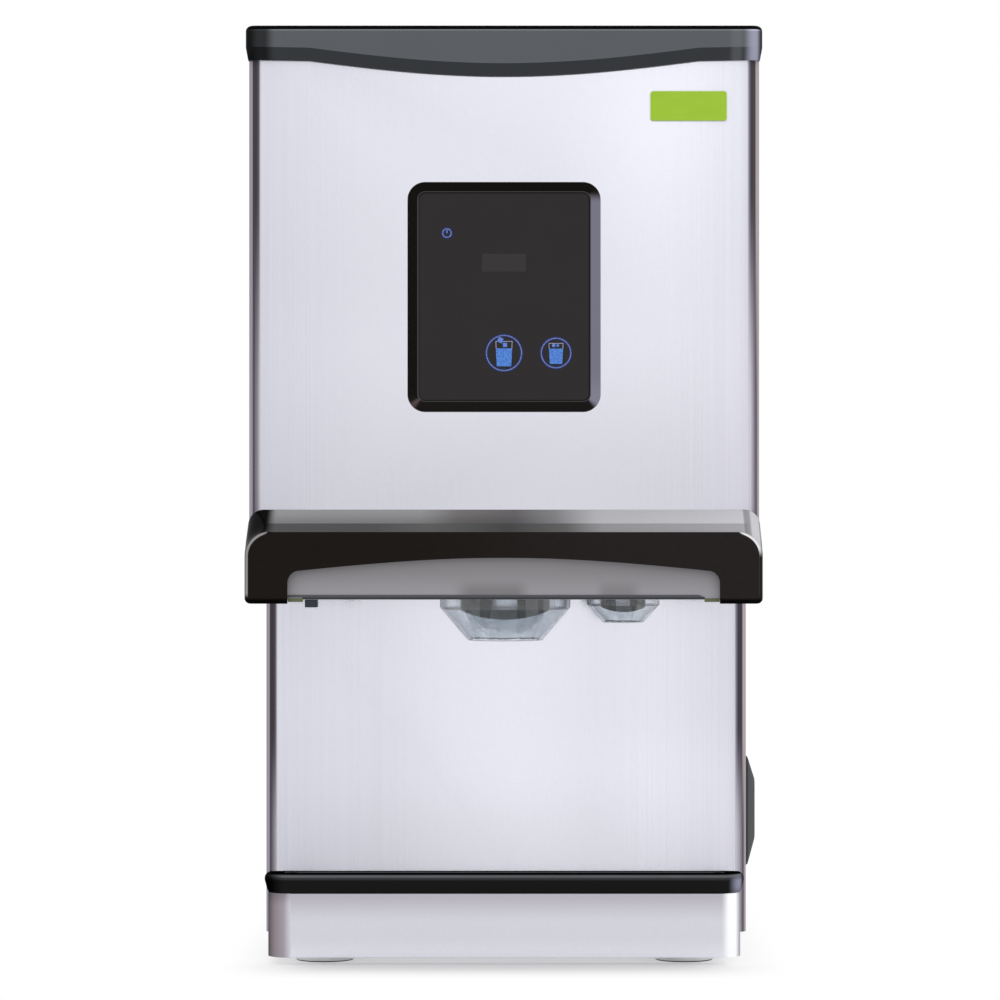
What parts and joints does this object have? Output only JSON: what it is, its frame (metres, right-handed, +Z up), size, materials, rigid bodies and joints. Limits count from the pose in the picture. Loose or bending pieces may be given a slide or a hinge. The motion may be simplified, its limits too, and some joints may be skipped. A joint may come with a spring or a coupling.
{
  "type": "countertop ice and water dispenser",
  "caption": "Countertop ice and water dispenser with a stainless upper body over an open cup bay, a dark visor, clear nozzles and a drip base.",
  "frame": {"origin": "middle of the whole machine's footprint box, on the surface it stands on", "axes": "+X to the right seen from the front, -Y towards the user, +Z up"},
  "size_m": [0.3908, 0.5832, 0.692],
  "materials": {
    "stainless": "satin brushed",
    "galvanised": "zinc coated sheet",
    "dark_plastic": "fine satin moulding",
    "gloss_black": "polished moulding",
    "grey_plastic": "satin moulding",
    "black_plastic": "matt moulding",
    "white_plastic": "food-safe moulding",
    "clear_plastic": "smoky clear moulding",
    "dark_glass": "polished dark panel",
    "aluminium": "cast and pressed",
    "copper": "drawn copper tube",
    "brass": "machined",
    "foam": "closed-cell foam",
    "black_paint": "baked enamel",
    "black_rubber": "moulded",
    "circuit_board": "solder resist",
    "green_badge": "glossy inlay"
  },
  "bodies": {
    "machine": {"agitator_motor": "aluminium", "badge_plate": "green_badge", "base_pan": "galvanised", "bin_lid": "white_plastic", "compressor": "black_paint", "condenser": "aluminium", "control_bezel": "gloss_black", "control_board": "circuit_board", "discharge_pipe": "copper", "display_module": "black_plastic", "drain_fitting": "dark_plastic", "drain_hose": "clear_plastic", "drip_housing": "stainless", "drip_rim": "dark_plastic", "drip_tray": "black_plastic", "electrical_box": "galvanised", "evaporator_tube": "stainless", "extruder_head": "stainless", "fan_motor": "black_plastic", "fan_shroud": "black_plastic", "flap_solenoid": "black_plastic", "foot_front_left": "black_rubber", "foot_front_right": "black_rubber", "foot_rear_left": "black_rubber", "foot_rear_right": "black_rubber", "gear_motor": "black_plastic", "gearbox_housing": "aluminium", "ice_bin": "white_plastic", "ice_chute": "dark_plastic", "ice_nozzle": "clear_plastic", "ice_transfer_tube": "white_plastic", "inlet_valve": "white_plastic", "insulation_jacket": "foam", "middle_deck": "galvanised", "nozzle_cover": "grey_plastic", "power_inlet": "black_plastic", "rear_panel": "stainless", "side_panel_left": "stainless", "side_panel_right": "stainless", "side_vent_cover": "dark_plastic", "splash_panel": "stainless", "suction_pipe": "copper", "top_cap": "dark_plastic", "touch_glass": "dark_glass", "upper_front_panel": "stainless", "visor": "gloss_black", "water_line": "clear_plastic", "water_nozzle": "clear_plastic", "water_reservoir": "white_plastic", "water_spout": "dark_plastic"},
    "flap": {"chute_flap": "stainless"},
    "plunger": {"solenoid_plunger": "stainless"},
    "agitator": {"bin_agitator": "stainless"},
    "auger": {"ice_auger": "stainless", "auger_gear": "brass"},
    "pinion": {"motor_pinion": "stainless"},
    "fan": {"fan_rotor": "black_plastic"},
    "float": {"reservoir_float": "white_plastic"},
    "rocker": {"rocker_switch": "black_plastic"},
    "grille": {"drip_grille": "stainless"}
  },
  "joints": [
    {"name": "flap_hinge", "type": "hinge", "parent": "machine", "child": "flap", "pos_m": [-0.0049, -0.14265, 0.3192], "axis": [1, 0, 0], "range_deg": [0, 55], "stiffness_Nm_per_rad": 0.03, "springref_deg": -68.75},
    {"name": "plunger_slide", "type": "slide", "parent": "machine", "child": "plunger", "axis": [0, 0, -1], "range_m": [0, 0.0125]},
    {"name": "agitator_spin", "type": "hinge", "parent": "machine", "child": "agitator", "pos_m": [-0.0049, -0.08865, 0.3511], "axis": [0, 0, 1], "continuous": true},
    {"name": "auger_spin", "type": "hinge", "parent": "machine", "child": "auger", "pos_m": [-0.1064, 0.20785, 0.0185], "axis": [0, 0, 1], "continuous": true},
    {"name": "pinion_spin", "type": "hinge", "parent": "machine", "child": "pinion", "pos_m": [-0.0448, 0.20785, 0.0185], "axis": [0, 0, 1], "continuous": true},
    {"name": "fan_spin", "type": "hinge", "parent": "machine", "child": "fan", "pos_m": [0.1406, 0.06185, 0.0965], "axis": [1, 0, 0], "continuous": true},
    {"name": "float_hinge", "type": "hinge", "parent": "machine", "child": "float", "pos_m": [0.0891, 0.16185, 0.3551], "axis": [1, 0, 0], "range_deg": [0, 25]},
    {"name": "rocker_hinge", "type": "hinge", "parent": "machine", "child": "rocker", "pos_m": [0.1301, 0.27435, 0.354], "axis": [1, 0, 0], "range_deg": [0, 16]},
    {"name": "grille_lift", "type": "slide", "parent": "machine", "child": "grille", "axis": [0, 0, 1], "range_m": [0, 0.06]}
  ],
  "couplings": [
    {"joint": "plunger_slide", "follows": "flap_hinge", "m_per_rad": 0.013},
    {"joint": "pinion_spin", "follows": "auger_spin", "ratio": -3}
  ]
}
